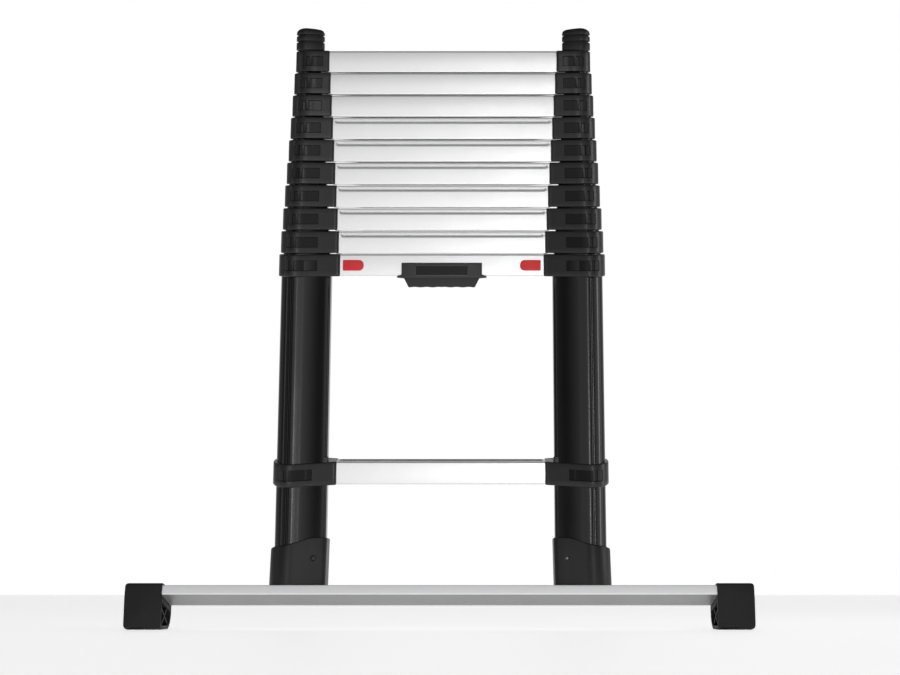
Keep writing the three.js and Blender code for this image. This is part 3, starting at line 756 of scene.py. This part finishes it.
def shoe_bm():
    """A sleeve around the tube's bottom, which stands on the bar and has a hole for its screw."""
    low, high = box_mm("shoe_right")
    inner, outer_x = low.x + 1.5, high.x + 2
    width = outer_x - inner
    half = shoe_half(width)

    def rim(inset, lift):
        loop = loop_at(half, outer_x - 1.6, 0, inset)
        return [(x, y, shoe_top_at(x, inner, width) + lift) for x, y, z in loop]

    def on_the_bar(loop):
        return [(x, y, bar_top_at(y) + SHOE_GAP) for x, y, z in loop]

    loops = [on_the_bar(loop_at(half, outer_x, 0)), rim(0, -1.8), rim(0.35, -0.7), rim(1.2, 0)]
    tube_outer = box_mm("base_tube_right")[1].x + 0.15
    hole = loop_at(resampled(scaled(PLAIN, TUBE_WIDTH + 0.3), len(half)), tube_outer, 0)
    loops += [[(x, y, shoe_top_at(x, inner, width)) for x, y, z in hole], on_the_bar(hole)]
    screw_hole = cylinder(4.2, "y", SCREW_X, SCREW_Z, low.y - 5, SCREW_Y + 3)
    return boolean(sweep(loops, ring=True), screw_hole, "DIFFERENCE")


def screw_bm():
    """A cross-slotted head."""
    front = SCREW_Y + 1
    head = bevel(cylinder(3.1, "y", SCREW_X, SCREW_Z, front, front + 6), 0.9, 3, 50)
    for wide, tall in ((2.2, 0.45), (0.45, 2.2)):
        slot = prism(rectangle(SCREW_X - wide, SCREW_X + wide, SCREW_Z - tall, SCREW_Z + tall),
                     "y", front - 1, front + 1.2)
        head = boolean(head, slot, "DIFFERENCE")
    return head


for label, side in SIDES:
    add_piece(f"shoe_{label}_body", shoe_bm(), "base", [f"shoe_{label}"],
              SHOE_NYLON, side)
    # The screw head's near-black steel is painted shade of its hole.
    add_piece(f"screw_{label}", screw_bm(), "base", [f"shoe_screw_{label}"],
              SCREW_SHADED_STEEL, side)


# ---- Feet ----
FOOT_HEIGHT = 62.3
FOOT_END_WALL = 5                # closes the foot's outer end
BAR_CLEARANCE = 0.3
BAR_SOCKET = 32.4                # how far the bar reaches into a foot
RIB_TILTS = (0.62, -0.5)         # radians
RIB_HALF = 1.3
POCKET_OVERLAP = 0.4             # a rib reaches this far into the walls around it


def from_stile(points):
    return [(y + STILE_Y, z) for y, z in points]


def foot_outline():
    """Side view in Y and Z; the front leans back and the rear of the sole is rounded."""
    points = [(-37, 0), (-40, 3), (-40, 42.6), (-37.2, 60.3)]
    points += curve(points[-1], (-36.8, FOOT_HEIGHT), (-34, FOOT_HEIGHT), 4)
    points += [(-17, 59.8), (23, 49.4)]
    points += curve(points[-1], (26, 48), (26, 45), 4)
    points += [(26, 24)] + curve((26, 24), (25, 6), (8, 0), 10)
    return from_stile(points)


def pocket_outline(grown=0.0):
    """Side view of the hollow in a foot, which can be grown a little past its walls."""
    less, half = 0.75 * grown, 0.5 * grown
    corner = (22 + less, 23 + half)
    points = [(-36 - grown, 5 - grown), (-36 - grown, 38 + half), corner]
    points += curve(corner, (20 + less, 8 - less), (5, 5 - grown), 8)
    return from_stile(points)


def foot_front(x0, x1):
    """Front view in X and Z, with the outer corners rounded."""
    points = [(x0, -1), (x1 - 6, -1), (x1 - 6, 0)]
    points += curve((x1 - 6, 0), (x1, 0.8), (x1, 8), 6)
    points.append((x1, FOOT_HEIGHT - 5))
    points += curve(points[-1], (x1, FOOT_HEIGHT), (x1 - 5, FOOT_HEIGHT), 5)
    return points + [(x1 - 5, 64), (x0, 64)]


def foot_bm():
    """A cap on the bar's end, hollow from its inner side, with three notches in its sole."""
    low, high = box_mm("foot_right")
    x0, x1 = low.x, high.x
    past = (low.y - 5, high.y + 5)
    body = prism(foot_outline(), "x", x0, x1)
    body = boolean(body, prism(foot_front(x0, x1), "y", *past), "INTERSECT")
    pocket = prism(pocket_outline(), "x", x0 - 2, x1 - FOOT_END_WALL)
    body = boolean(body, pocket, "DIFFERENCE")
    room = rectangle(-BAR_CLEARANCE, BAR_DEPTH + BAR_CLEARANCE, -BAR_CLEARANCE,
                     BAR_HEIGHT + BAR_CLEARANCE)
    socket = prism([on_bar(*p) for p in room], "x", x0 - 2, x0 + BAR_SOCKET)
    body = boolean(body, socket, "DIFFERENCE")
    for place in (x0 + 5.5, x0 + 22, x0 + 38):
        notch = prism([(place - 1.6, -1), (place + 1.6, -1), (place, 2.2)], "y", *past)
        body = boolean(body, notch, "DIFFERENCE")
    return bevel(body, 0.7, 2, 38)


def rib_bm(tilt):
    """A flat rib across the hollow, trimmed to it."""
    low, high = box_mm("foot_right")
    start = low.x + 1.5
    along = Vector((math.cos(tilt), math.sin(tilt)))
    across = Vector((-along.y, along.x))
    centre = Vector((-10 + STILE_Y, 18))
    corners = [tuple(centre + along * a + across * b)
               for a, b in rectangle(-45, 45, -RIB_HALF, RIB_HALF)]
    rib = prism(corners, "x", start, high.x - FOOT_END_WALL + 0.5)
    hollow = prism(pocket_outline(POCKET_OVERLAP), "x", start - 5, high.x)
    return boolean(rib, hollow, "INTERSECT")


for label, side in SIDES:
    here = [f"foot_{label}"]
    add_piece(f"foot_{label}_body", foot_bm(), "base", here, FOOT_RUBBER, side)
    for i, tilt in enumerate(RIB_TILTS):
        add_piece(f"foot_{label}_rib_{i}", rib_bm(tilt), "base", here,
                  FOOT_RUBBER, side)


# ---- Stop lugs on the fixed collars ----
def lug_bm():
    top = RUNG_Z[1] + COLLAR_HALF
    block = prism(rectangle(157.5, 172.5, top - 6, top + 7.5), "y", STILE_Y - 17, STILE_Y - 3)
    return bevel(block, 1.4, 3, 40)


for label, side in SIDES:
    add_piece(f"lug_{label}", lug_bm(), "base", [f"clamp_collar_{label}"],
              COLLAR_NYLON, side)


# ---- Carried-over CAD nodes ----
for label, side in SIDES:
    for prefix, material in (("lock_pin", PIN_STEEL), ("pin_spring", SPRING_STEEL),
                             ("spring_seat", SEAT_NYLON)):
        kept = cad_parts[f"{prefix}_{label}"]
        kept.data.materials.clear()
        kept.data.materials.append(material)


# ---- Floor, light and camera ----
FLOOR_GLOW = 0.64                # keeps the floor near white
STUDIO_STRENGTH = 0.92
LENS = 57.3
LENS_SHIFT = -0.0378
CAMERA_PLACE = (0.0604, -2.01395, 0.04774)
CAMERA_UP = math.radians(10.15)


def floor():
    bm = bmesh.new()
    corners = [bm.verts.new(p) for p in ((-30, -12, 0), (30, -12, 0), (30, 60, 0), (-30, 60, 0))]
    bm.faces.new(corners)
    mesh = bpy.data.meshes.new("floor")
    bm.to_mesh(mesh)
    bm.free()
    white = finish("floor_white", (0.93, 0.93, 0.93), 0.6, 0, 0.3, 0.03)
    shader = white.node_tree.nodes["Principled BSDF"]
    shader.inputs["Emission Color"].default_value = (1, 1, 1, 1)
    shader.inputs["Emission Strength"].default_value = FLOOR_GLOW
    mesh.materials.append(white)
    plane = bpy.data.objects.new("floor", mesh)
    bpy.context.collection.objects.link(plane)


def aimed_at(lamp, target):
    direction = Vector(target) - lamp.location
    lamp.rotation_euler = direction.to_track_quat("-Z", "Y").to_euler()


def soft_light(name, place, target, width, height, power):
    data = bpy.data.lights.new(name, "AREA")
    data.shape = "RECTANGLE"
    data.size, data.size_y = width, height
    data.energy = power
    lamp = bpy.data.objects.new(name, data)
    bpy.context.collection.objects.link(lamp)
    lamp.location = place
    lamp.visible_camera = False
    aimed_at(lamp, target)


def ramp(nodes, links, value, stops):
    """A smooth grey ramp of (place, brightness) stops over a value."""
    node = nodes.new("ShaderNodeValToRGB")
    node.color_ramp.interpolation = "EASE"
    while len(node.color_ramp.elements) < len(stops):
        node.color_ramp.elements.new(0.5)
    for element, (place, grey) in zip(node.color_ramp.elements, stops):
        element.position = place
        element.color = (grey, grey, grey, 1)
    links.new(value, node.inputs["Fac"])
    return node.outputs["Color"]


def product(nodes, links, a, b):
    node = nodes.new("ShaderNodeMixRGB")
    node.blend_type = "MULTIPLY"
    node.inputs["Fac"].default_value = 1
    links.new(a, node.inputs["Color1"])
    links.new(b, node.inputs["Color2"])
    return node.outputs["Color"]


# Brightness of the studio by height (0 straight down, 1 straight up) and by side
# (0 left, 1 right), as a direction's Z and X brought from -1..1 to 0..1.
UP_STOPS = ((0.0, 1.0), (0.50, 1.0), (0.66, 0.97), (0.86, 0.18), (1.0, 0.05))
SIDE_STOPS = ((0.0, 0.10), (0.06, 0.25), (0.15, 0.08), (0.38, 0.80), (0.5, 1.0), (0.62, 1.0),
              (0.86, 0.10), (0.95, 0.7), (1.0, 0.9))


def halved(nodes, links, value):
    node = nodes.new("ShaderNodeMath")
    node.operation = "MULTIPLY_ADD"
    node.inputs[1].default_value = 0.5
    node.inputs[2].default_value = 0.5
    links.new(value, node.inputs[0])
    return node.outputs["Value"]


def studio_shape(nodes, links):
    where = nodes.new("ShaderNodeTexCoord")
    split = nodes.new("ShaderNodeSeparateXYZ")
    links.new(where.outputs["Generated"], split.inputs["Vector"])
    by_height = ramp(nodes, links, halved(nodes, links, split.outputs["Z"]), UP_STOPS)
    by_side = ramp(nodes, links, halved(nodes, links, split.outputs["X"]), SIDE_STOPS)
    return product(nodes, links, by_height, by_side)


def studio():
    """A white surround for the camera, and a shaped one for light and reflections."""
    world = bpy.data.worlds.new("studio")
    bpy.context.scene.world = world
    world.use_nodes = True
    nodes, links = world.node_tree.nodes, world.node_tree.links
    nodes.clear()
    lit = nodes.new("ShaderNodeBackground")
    links.new(studio_shape(nodes, links), lit.inputs["Color"])
    lit.inputs["Strength"].default_value = STUDIO_STRENGTH
    seen = nodes.new("ShaderNodeBackground")
    seen.inputs["Color"].default_value = (1, 1, 1, 1)
    rays = nodes.new("ShaderNodeLightPath")
    mix = nodes.new("ShaderNodeMixShader")
    output = nodes.new("ShaderNodeOutputWorld")
    links.new(rays.outputs["Is Camera Ray"], mix.inputs["Fac"])
    links.new(lit.outputs["Background"], mix.inputs[1])
    links.new(seen.outputs["Background"], mix.inputs[2])
    links.new(mix.outputs["Shader"], output.inputs["Surface"])


def soft_lights():
    soft_light("strip_low", (0.34, -2.7, 0.42), (0, 0, 0.42), 0.14, 0.7, 3.4)
    soft_light("strip_high", (0.34, -2.7, 1.4), (0, 0, 0.7), 0.14, 1.2, 1.8)
    soft_light("side_right", (1.9, 0.1, 0.7), (0.2, 0, 0.5), 0.3, 2.0, 5)
    soft_light("side_left", (-1.9, -0.3, 0.7), (-0.2, 0, 0.5), 0.3, 2.0, 1.5)


def camera():
    data = bpy.data.cameras.new("camera")
    data.lens = LENS
    data.sensor_width = 36
    data.shift_x = LENS_SHIFT
    data.clip_end = 100
    view = bpy.data.objects.new("camera", data)
    bpy.context.collection.objects.link(view)
    view.location = CAMERA_PLACE
    view.rotation_euler = (math.pi / 2 + CAMERA_UP, 0, 0)
    bpy.context.scene.camera = view


floor()
studio()
soft_lights()
camera()
bpy.context.scene.view_settings.view_transform = "Standard"
